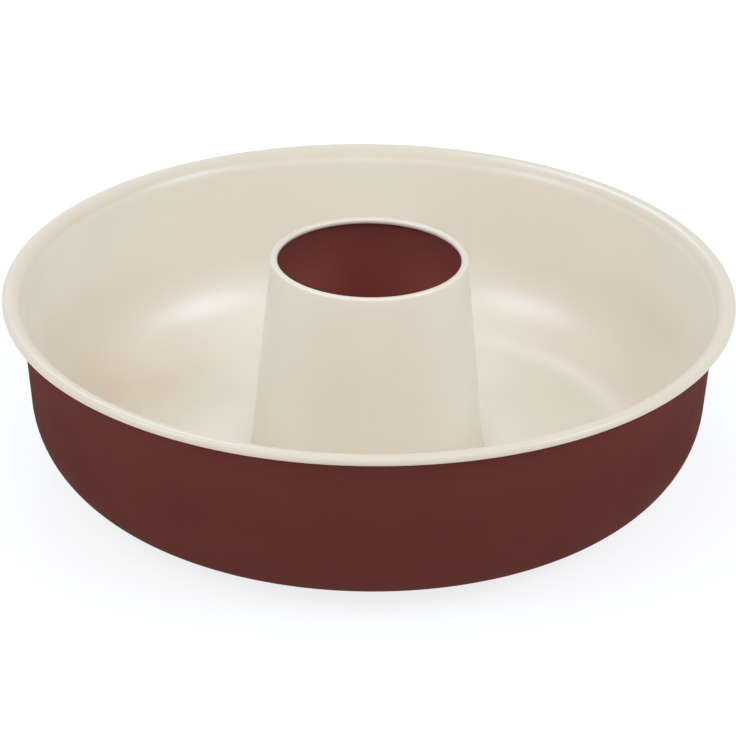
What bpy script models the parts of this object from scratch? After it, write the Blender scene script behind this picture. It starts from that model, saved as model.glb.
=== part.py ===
"""Ring cake pan: a drawn sheet basin and a conical centre tube, locked together by a folded seam.

Both pieces are sheet metal of even thickness, turned about the Z axis. Each is drawn once as the
mid-line of its sheet, from one cut edge to the other, and then given its thickness and spun.
The pan stands on the plane z = 0. A station is a point of the mid-line, as radius and height,
with a vector that points to the sheet's ceramic side, one long where the sheet has its even thickness.
"""

import math

import bmesh
import bpy
from mathutils import Vector

# Driving dimensions, in metres and radians

BODY_SHEET = 0.0012  # thickness of the basin's sheet
TUBE_SHEET = 0.0008  # thickness of the tube's sheet

WALL_RADIUS = 0.1400  # inside of the wall where the rim starts to flare
RIM_HEIGHT = 0.0787  # table to the rim's crest
WALL_DRAFT = math.radians(4.5)  # how far the wall leans out
CORNER_RADIUS = 0.0355  # inside of the bend from floor to wall
RIM_FLARE = 0.0058  # underside of the bend that takes the wall out to the crest
RIM_BORE = 0.0008  # hollow inside the rim's curl
RIM_TURN = math.radians(240.0)  # how far the rim's edge is rolled past the crest

FOOT_WIDTH = 0.0150  # flat ring that the pan stands on, up to the bend of the floor
FLOOR_BLEND = 0.0300  # bends where the floor leaves the foot and levels out over the seam
HUB_LAND = 0.0030  # level floor beyond the seam

MOUTH_RADIUS = 0.0374  # clear opening of the tube
TUBE_HEIGHT = 0.0921  # table to the crest of the mouth
TUBE_TAPER = math.radians(5.4)  # lean of the tube's side
MOUTH_BORE = 0.0006  # hollow inside the mouth's curl
MOUTH_TURN = math.radians(170.0)  # how far the mouth's edge is rolled past the crest

SEAM_GAP = 0.0003  # play between the folded layers
SEAM_OVERLAP = 0.0040  # straight length over which the two hooks hold each other
SEAM_LIFT = 0.0008  # table to the underside of the seam
PRESSED_OUTSIDE = 0.0005  # outside of the corners pressed into the basin's sheet beside the tube
PRESSED_INSIDE = 0.0001  # inside of the same corners

# How finely round forms are faceted
SEGMENTS = 60  # round the axis
BEND_STEP = math.radians(30.0)  # widest turn between two stations of a bend
BEND_ERROR = 0.00015  # most that a facet of a bend may cut inside its curve
SHARP_ANGLE = math.radians(50.0)

# Colours as the photograph shows them, linear
CREAM = (0.705, 0.604, 0.497)
BROWN = (0.112, 0.031, 0.025)
BARE_METAL = (0.80, 0.81, 0.82)

UP = math.pi / 2
DOWN = -math.pi / 2
INWARD = math.pi


def clear_scene():
    for obj in list(bpy.data.objects):
        bpy.data.objects.remove(obj, do_unlink=True)


def direction(angle):
    """Unit vector in the radius and height plane, turned from straight out."""
    return Vector((math.cos(angle), math.sin(angle)))


def bend(centre, radius, first, last, ceramic_outside=True):
    """Stations along a bend about a centre, from one angle to another."""
    step = min(BEND_STEP, 2 * math.acos(max(0.0, 1 - BEND_ERROR / radius)))
    count = max(1, math.ceil(abs(last - first) / step - 1e-9))
    side = 1 if ceramic_outside else -1
    stations = []
    for i in range(count + 1):
        out = direction(first + (last - first) * i / count)
        stations.append((centre + out * radius, out * side))
    return stations


def turn_at(before, point, after):
    """Half the angle at a point of the mid-line, the way to its inside, and the swing that rounds it off."""
    back = (before - point).normalized()
    ahead = (after - point).normalized()
    half = back.angle(ahead) / 2
    inside = (back + ahead).normalized()
    turns_left = back.x * ahead.y - back.y * ahead.x < 0
    start = back / math.tan(half) - inside / math.sin(half)
    first = math.atan2(start.y, start.x)
    swing = math.pi - 2 * half
    return half, inside, first, first + (swing if turns_left else -swing), turns_left


def corner(before, point, after, radius):
    """Stations that round off one corner of the mid-line, within the points before and after it.

    The ceramic side lies to the right of the way along the mid-line.
    """
    half, inside, first, last, turns_left = turn_at(before, point, after)
    room = min((before - point).length, (after - point).length) * math.tan(half)
    radius = min(radius, room)
    centre = point + inside * radius / math.sin(half)
    return bend(centre, radius, first, last, ceramic_outside=turns_left)


def pressed_corner(before, point, after, thickness):
    """Stations of a corner of the mid-line pressed square, with both skins tighter than in an even bend."""
    half, inside, first, last, turns_left = turn_at(before, point, after)
    outer_centre = point + inside * (PRESSED_OUTSIDE - thickness / 2) / math.sin(half)
    inner_centre = point + inside * (PRESSED_INSIDE + thickness / 2) / math.sin(half)
    outer = bend(outer_centre, PRESSED_OUTSIDE, first, last)
    inner = bend(inner_centre, PRESSED_INSIDE, first, last)
    side = 1 if turns_left else -1
    stations = []
    for (far, _), (near, _) in zip(outer, inner):
        stations.append(((far + near) / 2, (far - near) * side / thickness))
    return stations


def seam_layout():
    """Places that the two hooks share, worked out from the tube's cone and the thickness of the layers."""
    pitch = (BODY_SHEET + TUBE_SHEET) / 2 + SEAM_GAP
    flange = SEAM_LIFT + TUBE_SHEET / 2
    foot_bend = PRESSED_OUTSIDE + SEAM_GAP + TUBE_SHEET / 2
    mouth_curl = MOUTH_BORE + TUBE_SHEET / 2
    mouth = Vector((MOUTH_RADIUS + MOUTH_BORE + TUBE_SHEET, TUBE_HEIGHT - MOUTH_BORE - TUBE_SHEET))
    cone_top = mouth + direction(TUBE_TAPER) * mouth_curl
    drop = cone_top.y - (flange + foot_bend - foot_bend * math.sin(TUBE_TAPER))
    foot_radius = cone_top.x + drop * math.tan(TUBE_TAPER) + foot_bend * math.cos(TUBE_TAPER)
    foot = Vector((foot_radius, flange + foot_bend))
    leg = foot + direction(TUBE_TAPER - math.pi) * (PRESSED_OUTSIDE - BODY_SHEET / 2)

    def leg_at(height):
        """Mid-line of the basin's leg, which follows the tube down to the lower hook."""
        return Vector((leg.x + (leg.y - height) * math.tan(TUBE_TAPER), height))

    tongue_underside = leg_at(flange + 2 * pitch - TUBE_SHEET / 2)
    behind_leg = tongue_underside.x + BODY_SHEET / 2 / math.cos(TUBE_TAPER)
    fold_radius = foot_radius + SEAM_OVERLAP
    return {
        "mouth": mouth,  # middle of the mouth's curl
        "mouth_curl": mouth_curl,
        "foot": foot,  # middle of the bend at the tube's foot
        "foot_bend": foot_bend,
        "upper_corner": leg_at(flange + 3 * pitch),  # where the basin's floor turns down beside the tube
        "lower_corner": leg_at(flange + pitch),  # where it turns back under the floor
        "tongue": Vector((behind_leg + SEAM_GAP, flange + 2 * pitch)),  # the tube's cut edge
        "fold": Vector((fold_radius, flange + pitch)),  # middle of the fold round the basin's cut edge
        "fold_bend": pitch,
        "reach": fold_radius + pitch + TUBE_SHEET / 2,  # outer radius of the seam
    }


def body_stations(seam):
    """The basin's sheet, from the cut edge inside the rim's curl to the cut edge inside the seam."""
    half = BODY_SHEET / 2
    crest = WALL_RADIUS + BODY_SHEET + RIM_FLARE
    curl = Vector((crest, RIM_HEIGHT - RIM_BORE - BODY_SHEET))
    flare = Vector((crest, RIM_HEIGHT - RIM_FLARE - BODY_SHEET))
    rolled = bend(curl, RIM_BORE + half, UP - RIM_TURN, UP)
    flared = bend(flare, RIM_FLARE + half, UP, INWARD - WALL_DRAFT)

    wall_top = flared[-1][0]
    wall_foot = Vector((wall_top.x - (wall_top.y - half) * math.tan(WALL_DRAFT), half))
    foot_outer = wall_foot.x - (CORNER_RADIUS + half) * math.tan((UP - WALL_DRAFT) / 2)
    foot_middle = Vector((foot_outer - FOOT_WIDTH / 2, half))
    foot_inner = Vector((foot_outer - FOOT_WIDTH, half))
    upper = seam["upper_corner"]
    lower = seam["lower_corner"]
    hub_outer = Vector((seam["reach"] + HUB_LAND, upper.y))
    slope_middle = (foot_inner + hub_outer) / 2
    end = Vector((seam["fold"].x - SEAM_GAP, lower.y))

    round_corner = corner(wall_top, wall_foot, foot_middle, CORNER_RADIUS + half)
    rise = corner(foot_middle, foot_inner, slope_middle, FLOOR_BLEND)
    level = corner(slope_middle, hub_outer, upper, FLOOR_BLEND)
    turned_down = pressed_corner(hub_outer, upper, lower, BODY_SHEET)
    turned_back = pressed_corner(upper, lower, end, BODY_SHEET)
    floor = round_corner + rise + level
    return rolled + flared[1:] + floor + turned_down + turned_back + [(end, direction(DOWN))]


def tube_stations(seam):
    """The tube's sheet, from the cut edge inside the seam to the cut edge inside the mouth's curl."""
    fold = bend(seam["fold"], seam["fold_bend"], UP, DOWN, ceramic_outside=False)
    foot = bend(seam["foot"], seam["foot_bend"], DOWN, TUBE_TAPER - math.pi, ceramic_outside=False)
    shoulder = bend(seam["mouth"], seam["mouth_curl"], TUBE_TAPER, UP)
    rolled = bend(seam["mouth"], seam["mouth_curl"], UP, UP + MOUTH_TURN)
    return [(seam["tongue"], direction(DOWN))] + fold + foot + shoulder + rolled[1:]


def finish(name, colour, roughness, metallic):
    material = bpy.data.materials.new(name)
    material.use_nodes = True
    shader = material.node_tree.nodes["Principled BSDF"]
    shader.inputs["Base Color"].default_value = (*colour, 1.0)
    shader.inputs["Roughness"].default_value = roughness
    shader.inputs["Metallic"].default_value = metallic
    return material


def spin_edges(bm, points, slot):
    """Turns an open run of section points once round the axis, and gives the faces a material slot."""
    verts = [bm.verts.new((point.x, 0.0, point.y)) for point in points]
    edges = [bm.edges.new(pair) for pair in zip(verts, verts[1:])]
    before = set(bm.faces)
    bmesh.ops.spin(
        bm,
        geom=verts + edges,
        axis=(0.0, 0.0, 1.0),
        cent=(0.0, 0.0, 0.0),
        angle=2 * math.pi,
        steps=SEGMENTS,
        use_merge=True,
    )
    for face in set(bm.faces) - before:
        face.material_index = slot


def turned_sheet(name, stations, thickness):
    """One closed object: the ceramic skin, the lacquered skin and the two cut edges of a turned sheet."""
    ceramic = [point + side * thickness / 2 for point, side in stations]
    lacquer = [point - side * thickness / 2 for point, side in stations]
    bm = bmesh.new()
    spin_edges(bm, ceramic, 0)
    spin_edges(bm, lacquer, 1)
    spin_edges(bm, [ceramic[0], lacquer[0]], 2)
    spin_edges(bm, [ceramic[-1], lacquer[-1]], 2)
    bmesh.ops.remove_doubles(bm, verts=bm.verts, dist=1e-7)
    bmesh.ops.recalc_face_normals(bm, faces=bm.faces)
    mesh = bpy.data.meshes.new(name)
    bm.to_mesh(mesh)
    bm.free()
    mesh.shade_smooth()
    mesh.set_sharp_from_angle(angle=SHARP_ANGLE)
    mesh.materials.append(finish(name + " ceramic", CREAM, 0.30, 0.0))
    mesh.materials.append(finish(name + " lacquer", BROWN, 0.45, 0.0))
    mesh.materials.append(finish(name + " cut edge", BARE_METAL, 0.35, 1.0))
    obj = bpy.data.objects.new(name, mesh)
    bpy.context.scene.collection.objects.link(obj)
    return obj


def main():
    clear_scene()
    seam = seam_layout()
    turned_sheet("pan_body", body_stations(seam), BODY_SHEET)
    turned_sheet("centre_tube", tube_stations(seam), TUBE_SHEET)


main()
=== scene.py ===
# %% [markdown]
# # A ring cake pan, dressed for its photograph
# The pan is two turned pieces of aluminium sheet: a round basin, and a cone-shaped tube in its middle
# that is folded onto the basin's floor. The sheet is coated cream on the side that meets the cake and
# red-brown on the other side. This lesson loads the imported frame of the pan, builds both pieces again
# with finer curves, gives each side of the sheet its own finish, and lights and frames them.

import math

import bpy
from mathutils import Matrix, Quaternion, Vector


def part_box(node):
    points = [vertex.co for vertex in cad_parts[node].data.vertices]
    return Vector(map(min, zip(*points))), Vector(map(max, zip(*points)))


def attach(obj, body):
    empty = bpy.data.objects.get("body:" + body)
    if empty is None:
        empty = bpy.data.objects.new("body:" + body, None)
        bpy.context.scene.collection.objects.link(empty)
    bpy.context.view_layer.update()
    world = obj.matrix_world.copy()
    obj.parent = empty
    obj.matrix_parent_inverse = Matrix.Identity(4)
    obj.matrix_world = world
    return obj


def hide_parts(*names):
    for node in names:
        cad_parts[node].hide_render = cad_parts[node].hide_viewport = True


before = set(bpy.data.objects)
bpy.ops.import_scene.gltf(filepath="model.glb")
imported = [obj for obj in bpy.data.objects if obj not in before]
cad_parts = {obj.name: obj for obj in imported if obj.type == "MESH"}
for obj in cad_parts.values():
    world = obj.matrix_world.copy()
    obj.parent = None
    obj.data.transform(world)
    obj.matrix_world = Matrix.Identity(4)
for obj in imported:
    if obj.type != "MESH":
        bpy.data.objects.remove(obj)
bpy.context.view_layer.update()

# %% [markdown]
# ## Sizes
# So that nothing ends up beside the frame, the outer sizes are read from the frame's own boxes: how far the
# rim reaches, how high it stands, how high the tube stands and how far the seam lies above the table.
# Everything that a box can't tell, such as the sheet's thickness and the bends, is named in metres where
# a step first needs it.

# %% Read the outer sizes from the frame
MM = 0.001  # one millimetre in metres
_, basin_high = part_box("pan_body")
seam_low, seam_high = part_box("centre_tube")
RIM_REACH = basin_high.x
RIM_HEIGHT = basin_high.z
TUBE_HEIGHT = seam_high.z
SEAM_REACH = seam_high.x
SEAM_LIFT = seam_low.z
print(f"rim {RIM_REACH / MM:.1f} mm out and {RIM_HEIGHT / MM:.1f} mm up")
print(f"tube {TUBE_HEIGHT / MM:.1f} mm up")
print(f"seam {SEAM_REACH / MM:.1f} mm out and {SEAM_LIFT / MM:.1f} mm off the table")

# %% Name the two sheets
BODY_SHEET = 1.2 * MM  # thickness of the basin's sheet
TUBE_SHEET = 0.8 * MM  # thickness of the tube's sheet
SEAM_GAP = 0.3 * MM  # play between the folded layers
layers = 2 * BODY_SHEET + 2 * TUBE_SHEET + 3 * SEAM_GAP
print(f"two layers of each sheet and their play are {layers / MM:.1f} mm thick")

# %% [markdown]
# ## Drawing a sheet
# A sheet has the same thickness everywhere, so its cut-away outline is one line through the middle of the
# metal, thickened to both sides. A curve object with a bevel could do that, and so could the Solidify
# modifier, but neither knows which side is cream and which is brown. Here every point of the line
# carries an arrow towards the cream side, so that both skins, and their finishes, follow from it. An arc
# gets as many points as it needs for the gap to the true curve to stay below a hair.

# %% Make points along an arc
WIDEST_TURN = math.radians(7.5)  # no step along an arc turns further
HAIR = 0.006 * MM  # widest gap between a straight step and the true curve
UP = math.pi / 2
DOWN = -math.pi / 2
INWARD = math.pi


def arrow(angle):
    """A step of length one in the plane of radius and height, turned from straight out."""
    return Vector((math.cos(angle), math.sin(angle)))


def arc(middle, radius, first, last, cream_outside=True):
    """Points and arrows along an arc from one angle to another."""
    turn = min(WIDEST_TURN, 2 * math.acos(max(0.0, 1 - HAIR / radius)))
    count = max(2, math.ceil(abs(last - first) / turn))
    side = 1 if cream_outside else -1
    arrows = [arrow(first + (last - first) * i / count) for i in range(count + 1)]
    return [(middle + out * radius, out * side) for out in arrows]


for radius in (1 * MM, 35 * MM):
    quarter = arc(Vector((0, 0)), radius, 0, UP)
    print(f"a quarter turn of radius {radius / MM:.0f} mm takes {len(quarter)} points")

# %% [markdown]
# ## Two kinds of corner
# Where two straight runs meet, a sheet bends evenly, as a wide arc. A press can also squeeze a corner
# square: its outside gets nearly as tight as its inside, and the metal is thicker across the corner. One
# arc can't show that, so such a corner has an arc for each skin, its points lie halfway between the two,
# and their arrows grow longer than one. A right angle tries out each helper.

# %% Measure a corner
RIGHT_ANGLE = (Vector((1, 0)), Vector((0, 0)), Vector((0, 1)))


def turn_at(before, point, after):
    """Half the corner's angle, the way to its inside, and the swing of an arc that rounds it off."""
    back = (before - point).normalized()
    ahead = (after - point).normalized()
    half = back.angle(ahead) / 2
    inside = (back + ahead).normalized()
    start = back / math.tan(half) - inside / math.sin(half)
    first = math.atan2(start.y, start.x)
    turns_left = back.x * ahead.y - back.y * ahead.x < 0
    swing = math.pi - 2 * half
    return half, inside, first, first + (swing if turns_left else -swing), turns_left


_, _, first_angle, last_angle, _ = turn_at(*RIGHT_ANGLE)
swung = math.degrees(abs(last_angle - first_angle))
print(f"rounding off a right angle swings through {swung:.0f} degrees")

# %% Round off a corner
def rounded(before, point, after, radius):
    """An arc that replaces the corner at point, with the cream side on the right of the way."""
    half, inside, first, last, turns_left = turn_at(before, point, after)
    longest = min((before - point).length, (after - point).length) * math.tan(half)
    radius = min(radius, longest)
    return arc(point + inside * radius / math.sin(half), radius, first, last, turns_left)


bend_start, _ = rounded(*RIGHT_ANGLE, 35 * MM)[0]
print(f"a bend of 35 mm starts {bend_start.length / MM:.1f} mm before its corner")

# %% Press a corner square
PRESSED_OUTSIDE = 0.12 * MM  # outside of the corners pressed into the basin's sheet beside the tube
PRESSED_INSIDE = 0.06 * MM  # inside of the same corners


def pressed(before, point, after, thickness):
    """A corner whose outside and inside are both tighter than an even bend."""
    half, inside, first, last, turns_left = turn_at(before, point, after)
    outer_middle = point + inside * (PRESSED_OUTSIDE - thickness / 2) / math.sin(half)
    inner_middle = point + inside * (PRESSED_INSIDE + thickness / 2) / math.sin(half)
    outer = arc(outer_middle, PRESSED_OUTSIDE, first, last)
    inner = arc(inner_middle, PRESSED_INSIDE, first, last)
    side = 1 if turns_left else -1
    return [
        ((far + near) / 2, (far - near) * side / thickness)
        for (far, _), (near, _) in zip(outer, inner)
    ]


square = pressed(*RIGHT_ANGLE, BODY_SHEET)
longest_arrow = max(side.length for _, side in square)
print(f"in a pressed right angle of {len(square)} points the arrow grows to {longest_arrow:.2f}")

# %% [markdown]
# ## Where the two sheets hold each other
# On such a pan the tube isn't welded. The basin's floor turns down beside the tube and back under itself,
# the tube's foot is folded out, up and back over that edge, and a press squeezes the four layers flat.
# From above only a hairline shows. The places of all folds come from one small calculation, because each
# layer lies against the next: a layer's pitch is half of each sheet and the play. The calculation starts
# at the mouth and follows the cone down to its foot.

# %% Follow the cone from the mouth to the foot
MOUTH_RADIUS = 37.4 * MM  # clear opening of the tube
MOUTH_BORE = 0.6 * MM  # hollow inside the mouth's curl
TUBE_TAPER = math.radians(5.4)  # lean of the tube's side
FOOT_INSIDE = 0.8 * MM  # inside of the bend at the tube's foot
FLANGE = SEAM_LIFT + TUBE_SHEET / 2  # height of the tube's lowest layer
FOOT_BEND = FOOT_INSIDE + TUBE_SHEET / 2
MOUTH_CURL = MOUTH_BORE + TUBE_SHEET / 2
curl_edge = MOUTH_BORE + TUBE_SHEET
mouth_middle = Vector((MOUTH_RADIUS + curl_edge, TUBE_HEIGHT - curl_edge))
cone_top = mouth_middle + arrow(TUBE_TAPER) * MOUTH_CURL
cone_height = cone_top.y - FLANGE - FOOT_BEND * (1 - math.sin(TUBE_TAPER))
cone_foot_radius = cone_top.x + cone_height * math.tan(TUBE_TAPER)
foot_radius = cone_foot_radius + FOOT_BEND * math.cos(TUBE_TAPER)
foot_bend_middle = Vector((foot_radius, FLANGE + FOOT_BEND))
print(f"the cone is {cone_height / MM:.1f} mm high and {cone_foot_radius / MM:.1f} mm out at its foot")

# %% Lay out the folds under the floor
SEAM_OVERLAP = 4.0 * MM  # straight length over which the folded edges hold each other
HAIRLINE = 0.04 * MM  # gap that stays between the floor and the tube
PITCH = (BODY_SHEET + TUBE_SHEET) / 2 + SEAM_GAP
fold_middle = Vector((foot_radius + SEAM_OVERLAP, FLANGE + PITCH))
leg = foot_bend_middle + arrow(TUBE_TAPER - math.pi) * (FOOT_INSIDE - HAIRLINE - BODY_SHEET / 2)


def leg_at(height):
    """The middle of the basin's leg, which follows the tube down from the floor to the fold."""
    return Vector((leg.x + (leg.y - height) * math.tan(TUBE_TAPER), height))


upper_corner = leg_at(FLANGE + 3 * PITCH)
lower_corner = leg_at(FLANGE + PITCH)
reach_found = fold_middle.x + PITCH + TUBE_SHEET / 2
print(f"seam reaches {reach_found / MM:.2f} mm, and the frame says {SEAM_REACH / MM:.2f} mm")

# %% [markdown]
# ## The basin's line
# A press draws the basin from one round blank: a flat ring to stand on, a floor that rises a little
# towards the tube, a wide corner, and a wall that leans out so that the cake slides free. The edge is
# flared and then rolled under, which stiffens it and leaves no sharp sheet to touch. The line starts at
# the cut edge inside that roll and ends at the cut edge inside the seam.

# %% Draw the rim
RIM_TURN = math.radians(240.0)  # how far the edge is rolled past the crest
RIM_BORE = 0.8 * MM  # hollow inside the rim's curl
RIM_FLARE = 5.8 * MM  # bend from the wall out to the rim's crest, on its underside
WALL_DRAFT = math.radians(4.5)  # how far the wall leans out
half_sheet = BODY_SHEET / 2
crest_radius = RIM_REACH - RIM_BORE - BODY_SHEET
curl_middle = Vector((crest_radius, RIM_HEIGHT - RIM_BORE - BODY_SHEET))
flare_middle = Vector((crest_radius, RIM_HEIGHT - RIM_FLARE - BODY_SHEET))
rim_roll = arc(curl_middle, RIM_BORE + half_sheet, UP - RIM_TURN, UP)
rim_flare = arc(flare_middle, RIM_FLARE + half_sheet, UP, INWARD - WALL_DRAFT)
print(f"the roll is {2 * (RIM_BORE + BODY_SHEET) / MM:.1f} mm across")

# %% Draw the wall and its corner with the floor
CORNER_RADIUS = 35.5 * MM  # inside of the bend from floor to wall
FOOT_WIDTH = 15.0 * MM  # flat ring that the pan stands on
corner_radius = CORNER_RADIUS + half_sheet
wall_top = rim_flare[-1][0]
wall_foot = Vector((wall_top.x - (wall_top.y - half_sheet) * math.tan(WALL_DRAFT), half_sheet))
foot_outer = wall_foot.x - corner_radius * math.tan((UP - WALL_DRAFT) / 2)
foot_middle = Vector((foot_outer - FOOT_WIDTH / 2, half_sheet))
foot_inner = Vector((foot_outer - FOOT_WIDTH, half_sheet))
corner = rounded(wall_top, wall_foot, foot_middle, corner_radius)
print(f"the wall meets the rim {wall_top.x / MM:.1f} mm out")

# %% Draw the rising floor and the hook beside the tube
FLOOR_BLEND = 30.0 * MM  # soft bends on both sides of the rising floor
HUB_LAND = 3.0 * MM  # level floor beyond the seam
hub_outer = Vector((SEAM_REACH + HUB_LAND, upper_corner.y))
slope_middle = (foot_inner + hub_outer) / 2
hook_end = Vector((fold_middle.x - SEAM_GAP, lower_corner.y))
rise = rounded(foot_middle, foot_inner, slope_middle, FLOOR_BLEND)
level = rounded(slope_middle, hub_outer, upper_corner, FLOOR_BLEND)
turned_down = pressed(hub_outer, upper_corner, lower_corner, BODY_SHEET)
turned_back = pressed(upper_corner, lower_corner, hook_end, BODY_SHEET)
hook = turned_down + turned_back + [(hook_end, arrow(DOWN))]
basin_line = rim_roll + rim_flare[1:] + corner + rise + level + hook
flat_from, flat_to = rise[0][0].x, corner[-1][0].x
print(f"the pan stands on a flat ring {flat_from / MM:.1f} to {flat_to / MM:.1f} mm out")
print(f"the floor rises {(hub_outer.y - foot_inner.y) / MM:.1f} mm towards the tube")
print(f"basin line of {len(basin_line)} points")

# %% [markdown]
# ## The tube's line
# The tube is rolled from a thinner sheet into a cone, so that hot air rises through the middle of the
# cake. Its mouth is rolled inwards, and its foot is folded out, under and back over the basin's hook. Its
# cream side faces the cake, and inside the seam it turns to the other side of the fold, so the arrows
# point inwards there.

# %% Draw the tube
MOUTH_TURN = math.radians(170.0)  # how far the edge is rolled past the crest
tongue_height = FLANGE + 2 * PITCH
leg_outside = leg_at(tongue_height - TUBE_SHEET / 2).x + BODY_SHEET / 2 / math.cos(TUBE_TAPER)
tongue = Vector((leg_outside + SEAM_GAP, tongue_height))
fold = arc(fold_middle, PITCH, UP, DOWN, cream_outside=False)
foot = arc(foot_bend_middle, FOOT_BEND, DOWN, TUBE_TAPER - math.pi, cream_outside=False)
shoulder = arc(mouth_middle, MOUTH_CURL, TUBE_TAPER, UP)
mouth_roll = arc(mouth_middle, MOUTH_CURL, UP, UP + MOUTH_TURN)
tube_line = [(tongue, arrow(DOWN))] + fold + foot + shoulder + mouth_roll[1:]
print(f"tube line of {len(tube_line)} points, from the tongue {tongue.x / MM:.1f} mm out to the mouth")

# %% [markdown]
# ## From a line to a closed mesh
# The Spin tool turns edges too, but it leaves a seam of doubled points that has to be merged. Walking round
# the outline once, cream side out and brown side back, gives a closed loop. Turned about the axis, a closed
# loop makes a closed mesh in one go, like a chain of rings, and each ring of faces already knows its
# finish.

# %% Add points on the straight runs
STRAIGHT_STEP = 6.0 * MM  # longest face along a straight run


def with_steps(line):
    """The same line with extra points on its straight runs, so that no face gets long and thin."""
    fine = [line[0]]
    for (start, start_arrow), (end, end_arrow) in zip(line, line[1:]):
        count = max(1, math.ceil((end - start).length / STRAIGHT_STEP))
        for i in range(1, count + 1):
            share = i / count
            fine.append((start.lerp(end, share), start_arrow.lerp(end_arrow, share)))
    return fine


print(f"with steps the basin line has {len(with_steps(basin_line))} points")

# %% Turn an outline round the axis
ROUND = 288  # faces round the axis


def revolved(loop):
    """The points and the four-cornered faces of a closed outline turned once round the axis."""
    points, faces = [], []
    count = len(loop)
    for i in range(ROUND):
        turn = 2 * math.pi * i / ROUND
        points += [(p.x * math.cos(turn), p.x * math.sin(turn), p.y) for p in loop]
        here, there = i * count, (i + 1) % ROUND * count
        for j in range(count):
            following = (j + 1) % count
            faces.append((here + j, here + following, there + following, there + j))
    return points, faces


_, ring_faces = revolved([Vector((1, 0)), Vector((2, 0)), Vector((2, 1))])
print(f"an outline of three corners makes a ring of {len(ring_faces)} faces")

# %% Make the object of a turned sheet
SHARP_ANGLE = math.radians(50.0)  # edges sharper than this stay crisp
CREAM_SIDE, BROWN_SIDE, CUT_EDGE = range(3)  # places in a piece's list of finishes


def turned_sheet(name, line, thickness, finishes):
    """A closed object of turned sheet, with finishes for its cream side, brown side and cut edges."""
    line = with_steps(line)
    cream_skin = [point + side * thickness / 2 for point, side in line]
    brown_skin = [point - side * thickness / 2 for point, side in line]
    points, faces = revolved(cream_skin + brown_skin[::-1])
    spans = len(line) - 1
    sides = [CREAM_SIDE] * spans + [CUT_EDGE] + [BROWN_SIDE] * spans + [CUT_EDGE]
    mesh = bpy.data.meshes.new(name)
    mesh.from_pydata(points, [], faces)
    mesh.polygons.foreach_set("material_index", sides * ROUND)
    for finish in finishes:
        mesh.materials.append(finish)
    mesh.shade_smooth()
    mesh.set_sharp_from_angle(angle=SHARP_ANGLE)
    piece = bpy.data.objects.new(name, mesh)
    bpy.context.scene.collection.objects.link(piece)
    print(f"{name}: {len(faces)} faces, {len(sides)} round its outline")
    return piece


# %% [markdown]
# ## Finishes
# A coating isn't one flat colour. It is sprayed and baked, so its surface keeps a very low swell, like the
# peel of an orange, its gloss changes a little from place to place, and its colour drifts with its
# thickness. All three come from noise that is measured in the pan's own coordinates, so it needs no
# unwrapping and fits both pieces. Image textures could show the same, but noise stays sharp at any
# distance.

# %% Start a finish
def new_finish(name):
    """A material with its nodes, the shader and a source of the piece's own coordinates."""
    finish = bpy.data.materials.new(name)
    finish.use_nodes = True
    nodes = finish.node_tree.nodes
    return finish, nodes["Principled BSDF"], nodes.new("ShaderNodeTexCoord").outputs["Object"]


# %% Make noise and spread it over a range
NOISE_LOW, NOISE_HIGH = 0.35, 0.65  # nearly all of the noise lies between these


def noise_over(finish, place, grain, detail=2.0):
    """Noise whose swells are about one grain across, from 0 to 1."""
    noise = finish.node_tree.nodes.new("ShaderNodeTexNoise")
    noise.inputs["Scale"].default_value = 1 / grain
    noise.inputs["Detail"].default_value = detail
    finish.node_tree.links.new(place, noise.inputs["Vector"])
    return noise.outputs["Fac"]


def spread(finish, noise, low, high):
    """The middle of the noise spread over a range from low to high."""
    ranger = finish.node_tree.nodes.new("ShaderNodeMapRange")
    ranger.inputs["From Min"].default_value = NOISE_LOW
    ranger.inputs["From Max"].default_value = NOISE_HIGH
    ranger.inputs["To Min"].default_value = low
    ranger.inputs["To Max"].default_value = high
    finish.node_tree.links.new(noise, ranger.inputs["Value"])
    return ranger.outputs["Result"]


# %% Mix colours and lift the surface
def blend(finish, share, first, second):
    """A colour between two others, by a share from 0 to 1. The first may come from other nodes."""
    mix = finish.node_tree.nodes.new("ShaderNodeMixRGB")
    finish.node_tree.links.new(share, mix.inputs["Fac"])
    if isinstance(first, tuple):
        mix.inputs["Color1"].default_value = (*first, 1.0)
    else:
        finish.node_tree.links.new(first, mix.inputs["Color1"])
    mix.inputs["Color2"].default_value = (*second, 1.0)
    return mix.outputs["Color"]


def swell(finish, shader, height, depth):
    """Lifts the surface by a height map from 0 to 1, as far as depth."""
    bump = finish.node_tree.nodes.new("ShaderNodeBump")
    bump.inputs["Distance"].default_value = depth
    finish.node_tree.links.new(height, bump.inputs["Height"])
    finish.node_tree.links.new(bump.outputs["Normal"], shader.inputs["Normal"])


# %% [markdown]
# ### Changes along the pan
# On a turned piece the light and shade painted into a coat here change with the distance from the axis or
# with the height, and so does the table's shadow share. A colour ramp could show that, but it has to be
# scaled to the piece first. Here the change is a list of stops in metres, and every pair of stops becomes
# one smooth step. The steps are added up.

# %% Measure the distance from the axis
def from_axis(finish, parts):
    """The length of the two flat coordinates."""
    flat = finish.node_tree.nodes.new("ShaderNodeCombineXYZ")
    length = finish.node_tree.nodes.new("ShaderNodeVectorMath")
    length.operation = "LENGTH"
    finish.node_tree.links.new(parts.outputs["X"], flat.inputs["X"])
    finish.node_tree.links.new(parts.outputs["Y"], flat.inputs["Y"])
    finish.node_tree.links.new(flat.outputs["Vector"], length.inputs[0])
    return length.outputs["Value"]


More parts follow.
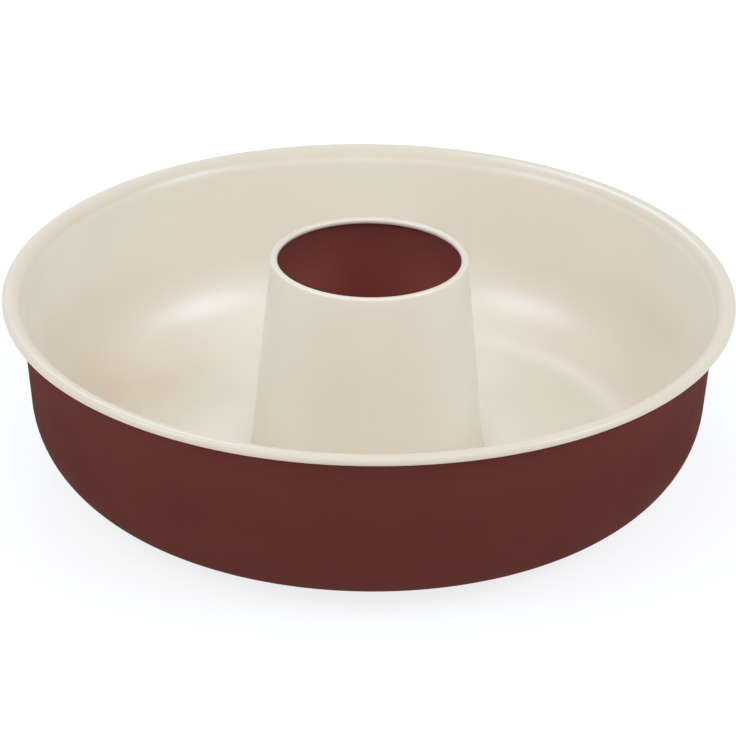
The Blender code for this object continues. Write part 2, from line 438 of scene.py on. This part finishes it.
# %% Change a number from stop to stop
def along(finish, place, stops, by_height=False):
    """A number that follows stops of (distance from the axis or height, number)."""
    nodes = finish.node_tree.nodes
    link = finish.node_tree.links.new
    parts = nodes.new("ShaderNodeSeparateXYZ")
    link(place, parts.inputs["Vector"])
    source = parts.outputs["Z"] if by_height else from_axis(finish, parts)
    total = None
    for (start, low), (end, high) in zip(stops, stops[1:]):
        step = nodes.new("ShaderNodeMapRange")
        step.interpolation_type = "SMOOTHSTEP"
        step.inputs["From Min"].default_value = start
        step.inputs["From Max"].default_value = end
        step.inputs["To Min"].default_value = low if total is None else 0.0
        step.inputs["To Max"].default_value = high if total is None else high - low
        link(source, step.inputs["Value"])
        if total is None:
            total = step.outputs["Result"]
            continue
        added = nodes.new("ShaderNodeMath")
        link(total, added.inputs[0])
        link(step.outputs["Result"], added.inputs[1])
        total = added.outputs["Value"]
    return total


# %% [markdown]
# ### The cream ceramic coating
# This side is a baked ceramic layer with the gloss of an eggshell: the studio's lamps show in it as soft
# clouds and not as outlines. Its colour is a warm cream that drifts by a hundredth or two. In the
# photograph it is a shade paler on the floor and a shade deeper on the flare and the rolled edges than the
# lamps here make it, so a sheen is painted onto the floor and shade onto the flare and the rolled edges.
# The roughness stays above 0.28: where it crosses 0.27 the picture's denoiser treats the gloss in another
# way, and islands show.

# %% Name the cream's colours and where they change
CREAM_LIGHT = (0.736, 0.643, 0.526)
CREAM_DEEP = (0.722, 0.626, 0.508)
# The floor's colour below is a painted sheen: the cream made paler and cooler on the floor.
CREAM_FLOOR_SHEEN = (0.730, 0.663, 0.540)
# The edges' colour below is painted shade: it deepens the mouth's roll, the rim's roll and the flare.
CREAM_EDGE_SHADE = (0.583, 0.494, 0.375)
# Where the painted sheen lies: on the floor between the seam and the corner.
FLOOR_SHEEN_STOPS = [  # distance from the axis, share of the floor's colour
    (50 * MM, 0.0),
    (60 * MM, 1.0),
    (98 * MM, 1.0),
    (120 * MM, 0.0),
]
# Where the painted shade lies: on the mouth's roll, and from the flare out over the rim's roll.
EDGE_SHADE_STOPS = [  # distance from the axis, share of the edges' colour
    (MOUTH_RADIUS + 0.2 * MM, 0.0),
    (MOUTH_RADIUS + 1.0 * MM, 1.0),
    (MOUTH_RADIUS + 1.6 * MM, 1.0),
    (MOUTH_RADIUS + 2.8 * MM, 0.0),
    (RIM_REACH - 9.2 * MM, 0.0),
    (RIM_REACH - 7.4 * MM, 1.0),
]
edge_shade_share = CREAM_EDGE_SHADE[1] / CREAM_LIGHT[1]
print(f"the rolled edges throw back {edge_shade_share:.0%} of the light that the rest of the cream does")

# %% Mix the cream coating
CREAM_DRIFT_GRAIN = 45 * MM
CREAM_GLOSS_GRAIN = 18 * MM
CREAM_PEEL_GRAIN = 2.2 * MM
CREAM_PEEL_DEPTH = 0.004 * MM
CREAM_ROUGHNESS = (0.285, 0.325)
CREAM_SPECULAR = 0.5


def cream_ceramic():
    """The ceramic coating, with a painted sheen on the floor and painted shade on the edges."""
    finish, shader, place = new_finish("cream_ceramic")
    link = finish.node_tree.links.new
    drift = spread(finish, noise_over(finish, place, CREAM_DRIFT_GRAIN), 0.0, 1.0)
    coat = blend(finish, drift, CREAM_DEEP, CREAM_LIGHT)
    coat = blend(finish, along(finish, place, FLOOR_SHEEN_STOPS), coat, CREAM_FLOOR_SHEEN)
    coat = blend(finish, along(finish, place, EDGE_SHADE_STOPS), coat, CREAM_EDGE_SHADE)
    gloss = noise_over(finish, place, CREAM_GLOSS_GRAIN)
    link(coat, shader.inputs["Base Color"])
    link(spread(finish, gloss, *CREAM_ROUGHNESS), shader.inputs["Roughness"])
    shader.inputs["Specular IOR Level"].default_value = CREAM_SPECULAR
    peel = noise_over(finish, place, CREAM_PEEL_GRAIN, detail=1.0)
    swell(finish, shader, peel, CREAM_PEEL_DEPTH)
    return finish


cream = cream_ceramic()
print(f"the cream coating takes {len(cream.node_tree.nodes)} nodes")

# %% [markdown]
# ### The brown lacquer
# The side away from the cake has a thin, flat lacquer that soaks up the oven's heat. It hardly shines, and
# it has a fine grain where the spray dried. The photograph shows the same red-brown everywhere, also where
# less light gets to: at the foot, under the rim and above all inside the narrow tube. So light is painted
# into the lacquer there: its colour is made paler by a factor that changes with the height.

# %% Name the lacquer's colours and where they change
BROWN_LIGHT = (0.1020, 0.0260, 0.0196)
BROWN_DEEP = (0.0964, 0.0245, 0.0184)
# Painted light: the lacquer is made paler near the foot and under the rim, where less light falls.
OUTSIDE_PAINTED_LIGHT = [  # height, factor on the colour
    (0.0, 1.28),
    (0.5 * RIM_HEIGHT, 1.0),
    (RIM_HEIGHT, 1.18),
]
# Painted light inside the tube, strongest in its middle, where little light gets in.
BORE_PAINTED_LIGHT = [  # the same inside the tube
    (0.0, 1.05),
    (0.55 * TUBE_HEIGHT, 3.7),
    (TUBE_HEIGHT, 1.8),
]
# The strongest factor of painted light inside the tube.
paler = max(factor for _, factor in BORE_PAINTED_LIGHT)
print(f"in the middle of the tube the lacquer throws back {paler} times as much light")

# %% Deepen a colour by a factor
def deepened(finish, colour, factor):
    """A colour made deeper or lighter by a factor."""
    scale = finish.node_tree.nodes.new("ShaderNodeVectorMath")
    scale.operation = "SCALE"
    finish.node_tree.links.new(colour, scale.inputs[0])
    finish.node_tree.links.new(factor, scale.inputs["Scale"])
    return scale.outputs["Vector"]


# %% Mix the brown lacquer
BROWN_DRIFT_GRAIN = 30 * MM
BROWN_GLOSS_GRAIN = 12 * MM
BROWN_SPRAY_GRAIN = 1.2 * MM
BROWN_SPRAY_DEPTH = 0.006 * MM
BROWN_ROUGHNESS = (0.66, 0.74)
BROWN_SPECULAR = 0.01


def brown_lacquer(name, stops):
    """The lacquer with painted light, deeper or paler by the factors at the given heights."""
    finish, shader, place = new_finish(name)
    link = finish.node_tree.links.new
    drift = spread(finish, noise_over(finish, place, BROWN_DRIFT_GRAIN), 0.0, 1.0)
    coat = blend(finish, drift, BROWN_DEEP, BROWN_LIGHT)
    coat = deepened(finish, coat, along(finish, place, stops, by_height=True))
    gloss = noise_over(finish, place, BROWN_GLOSS_GRAIN)
    link(coat, shader.inputs["Base Color"])
    link(spread(finish, gloss, *BROWN_ROUGHNESS), shader.inputs["Roughness"])
    shader.inputs["Specular IOR Level"].default_value = BROWN_SPECULAR
    swell(finish, shader, noise_over(finish, place, BROWN_SPRAY_GRAIN), BROWN_SPRAY_DEPTH)
    return finish


outside = brown_lacquer("brown_lacquer", OUTSIDE_PAINTED_LIGHT)
bore = brown_lacquer("brown_lacquer_bore", BORE_PAINTED_LIGHT)
for lacquer in (outside, bore):
    print(f"{lacquer.name} takes {len(lacquer.node_tree.nodes)} nodes")

# %% [markdown]
# ### The bare cut edges
# Where the blank was cut there is no coating. The narrow ring inside each roll shows the aluminium itself,
# with fine lines along the cut.

# %% Mix the bare metal
METAL = (0.80, 0.81, 0.82)
METAL_GLOSS_GRAIN = 1.5 * MM
METAL_LINE_GRAIN = 0.4 * MM
METAL_LINE_DEPTH = 0.01 * MM
METAL_ROUGHNESS = (0.28, 0.42)


def bare_metal():
    """Aluminium as the cutting die left it."""
    finish, shader, place = new_finish("bare_metal")
    gloss = spread(finish, noise_over(finish, place, METAL_GLOSS_GRAIN), *METAL_ROUGHNESS)
    shader.inputs["Base Color"].default_value = (*METAL, 1.0)
    shader.inputs["Metallic"].default_value = 1.0
    finish.node_tree.links.new(gloss, shader.inputs["Roughness"])
    swell(finish, shader, noise_over(finish, place, METAL_LINE_GRAIN), METAL_LINE_DEPTH)
    return finish


metal = bare_metal()
print(f"the bare metal takes {len(metal.node_tree.nodes)} nodes")

# %% [markdown]
# ## The two pieces
# Each piece stands for its node of the frame and rides on the frame's only body, because nothing on the pan
# moves. The basin's outside is lacquered, and the tube's outside is ceramic.

# %% Build the basin
basin = turned_sheet("basin", basin_line, BODY_SHEET, [cream, outside, metal])
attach(basin, "root")
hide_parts("pan_body")

# %% Build the tube
tube = turned_sheet("tube", tube_line, TUBE_SHEET, [cream, bore, metal])
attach(tube, "root")
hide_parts("centre_tube")

# %% [markdown]
# ## Background
# The photograph has a clean white ground. Turning the lamps up until the table burns out would burn out
# the cream coating too. Instead, whatever the camera or a reflection looks at gets white light of its own,
# while the light that falls on the pan stays at a plain level.

# %% Tell apart what is seen and what is lit
def seen_directly(tree):
    """1 where a ray comes from the camera, from a reflection or through glass, and 0 elsewhere."""
    path = tree.nodes.new("ShaderNodeLightPath")
    total = path.outputs["Is Camera Ray"]
    for name in ("Is Glossy Ray", "Is Transmission Ray"):
        more = tree.nodes.new("ShaderNodeMath")
        more.operation = "MAXIMUM"
        tree.links.new(total, more.inputs[0])
        tree.links.new(path.outputs[name], more.inputs[1])
        total = more.outputs[0]
    return total


def mixed(tree, share, first, second):
    """One shader where the share is 0 and the other where it is 1."""
    mix = tree.nodes.new("ShaderNodeMixShader")
    tree.links.new(share, mix.inputs["Fac"])
    tree.links.new(first, mix.inputs[1])
    tree.links.new(second, mix.inputs[2])
    return mix.outputs["Shader"]


# %% Light the background
WHITE = (1.0, 1.0, 1.0, 1.0)
WORLD_LIGHT = 0.675  # strength with which the surroundings light the pan
WORLD_PICTURE = 1.0  # strength that the camera and reflections see, where 1 is white


def even_light(tree, strength):
    """White light of one strength from everywhere."""
    light = tree.nodes.new("ShaderNodeBackground")
    light.inputs["Color"].default_value = WHITE
    light.inputs["Strength"].default_value = strength
    return light.outputs["Background"]


def studio():
    """A world that lights the pan at one strength and is seen at another."""
    world = bpy.data.worlds.new("studio")
    world.use_nodes = True
    tree = world.node_tree
    tree.nodes.clear()
    lit, seen = even_light(tree, WORLD_LIGHT), even_light(tree, WORLD_PICTURE)
    end = tree.nodes.new("ShaderNodeOutputWorld")
    tree.links.new(mixed(tree, seen_directly(tree), lit, seen), end.inputs["Surface"])
    return world


scene = bpy.context.scene
scene.view_settings.view_transform = "Standard"
scene.world = studio()
print(f"the studio lights at {WORLD_LIGHT} and is seen at {WORLD_PICTURE}")

# %% [markdown]
# ## Table
# Around the pan a share of the table's picture comes from the lamps, and that share keeps the soft shadow.
# Further out it fades to nothing, so that no horizon shows in a low view. The table's paint, which throws
# light back at the pan, is nearly white, so that the underside of the rim stays pale.

# %% Paint the table
TABLE_PAINT = (0.94, 0.94, 0.94, 1.0)
SHADOW_STOPS = [  # distance from the axis, share of the lamps' light in the picture
    (1.5 * RIM_REACH, 0.19),
    (4.0 * RIM_REACH, 0.0),
]


def white_table():
    """Paint that lights the pan as paint does and is seen as white with a soft shadow."""
    finish = bpy.data.materials.new("white_table")
    finish.use_nodes = True
    tree = finish.node_tree
    tree.nodes.clear()
    paint = tree.nodes.new("ShaderNodeBsdfDiffuse")
    paint.inputs["Color"].default_value = TABLE_PAINT
    shaded = tree.nodes.new("ShaderNodeBsdfDiffuse")
    shaded.inputs["Color"].default_value = WHITE
    glow = tree.nodes.new("ShaderNodeEmission")
    place = tree.nodes.new("ShaderNodeTexCoord").outputs["Object"]
    share = along(finish, place, SHADOW_STOPS)
    picture = mixed(tree, share, glow.outputs["Emission"], shaded.outputs["BSDF"])
    shown = mixed(tree, seen_directly(tree), paint.outputs["BSDF"], picture)
    end = tree.nodes.new("ShaderNodeOutputMaterial")
    tree.links.new(shown, end.inputs["Surface"])
    return finish


# %% Lay the table
HALF_TABLE = 6.0  # metres
ways_round = ((-1, -1), (1, -1), (1, 1), (-1, 1))
table_mesh = bpy.data.meshes.new("table")
table_corners = [(x * HALF_TABLE, y * HALF_TABLE, 0) for x, y in ways_round]
table_mesh.from_pydata(table_corners, [], [(0, 1, 2, 3)])
table_mesh.materials.append(white_table())
table = bpy.data.objects.new("table", table_mesh)
scene.collection.objects.link(table)
print(f"the table is {2 * HALF_TABLE:.0f} m wide")

# %% [markdown]
# ## Lamps
# The photograph has two soft clouds on the floor's corner, left and right, a long faint band on the right,
# and a bright line along the front of the rim. Each lies where the coating mirrors a lamp towards the
# camera, so its place tells where the lamp stands: a wide lamp on each side, 37 degrees up, a long strip
# behind the pan that leans to the left, and one large lamp high above the camera for the line. A last one
# behind the camera fills the front. The clouds are whiter than the cream around them, so the side lamps
# and the strip are cool.

# %% Make a soft lamp
LAMP_DISTANCE = 1.6  # metres from the middle of the pan's foot


def soft_lamp(name, azimuth, elevation, width, height, power, tint=(1.0, 1.0, 1.0), lean=0):
    """A round or oval soft lamp aimed at the pan. Azimuth 0 is the camera's side and 90 the right."""
    data = bpy.data.lights.new(name, "AREA")
    data.shape = "ELLIPSE"
    data.size = width
    data.size_y = height
    data.energy = power
    data.color = tint
    lamp = bpy.data.objects.new(name, data)
    turn, climb = math.radians(azimuth), math.radians(elevation)
    flat = math.cos(climb)
    out = Vector((math.sin(turn) * flat, -math.cos(turn) * flat, math.sin(climb)))
    leaning = Quaternion((0, 0, 1), -math.radians(lean))
    lamp.location = out * LAMP_DISTANCE
    lamp.rotation_mode = "QUATERNION"
    lamp.rotation_quaternion = out.to_track_quat("Z", "Y") @ leaning
    scene.collection.objects.link(lamp)
    print(f"{name}: {power} W from {azimuth} degrees round and {elevation} up")


# %% Hang the lamps
COOL = (0.73, 0.99, 1.33)
soft_lamp("lamp_left", azimuth=-67, elevation=37, width=0.84, height=0.74, power=7.4, tint=COOL)
soft_lamp("lamp_right", azimuth=71, elevation=37, width=0.80, height=0.70, power=8.4, tint=COOL)
soft_lamp(
    "strip_back_left", azimuth=-160, elevation=50, width=0.35, height=0.9, power=4.3, tint=COOL, lean=23
)
soft_lamp("lamp_above_camera", azimuth=0, elevation=68, width=1.7, height=1.7, power=5.8)
soft_lamp("lamp_behind_camera", azimuth=0, elevation=38, width=2.0, height=2.0, power=3.5)

# %% [markdown]
# ## Camera
# The rim and the mouth are circles, and the ellipses that they make in the photograph give the camera's
# height. The foot of the tube, which only just stays behind the front of the rim, gives the distance: ten
# rim radii, with a long lens. The picture leans by most of a degree, and the camera leans with it.

# %% Place the camera
CAMERA_DISTANCE = 10 * RIM_REACH
CAMERA_ELEVATION = math.radians(26.65)
CAMERA_ROLL = math.radians(0.72)
AIM_BELOW_RIM = 0.2497 * RIM_REACH
FOCAL_PIXELS = 3617.0  # focal length in pixels of the photograph
PHOTO_WIDTH = 736  # pixels
SENSOR_WIDTH = 36.0  # millimetres, as lenses are counted
camera_data = bpy.data.cameras.new("camera")
camera_data.sensor_width = SENSOR_WIDTH
camera_data.lens = SENSOR_WIDTH * FOCAL_PIXELS / PHOTO_WIDTH
camera = bpy.data.objects.new("camera", camera_data)
back = Vector((0.0, -math.cos(CAMERA_ELEVATION), math.sin(CAMERA_ELEVATION)))
aim = Vector((0.0, 0.0, RIM_HEIGHT - AIM_BELOW_RIM))
camera.location = aim + back * CAMERA_DISTANCE
camera.rotation_mode = "QUATERNION"
camera.rotation_quaternion = back.to_track_quat("Z", "Y") @ Quaternion((0, 0, 1), CAMERA_ROLL)
scene.collection.objects.link(camera)
scene.camera = camera
print(f"lens {camera_data.lens:.1f} mm, {CAMERA_DISTANCE:.3f} m away")
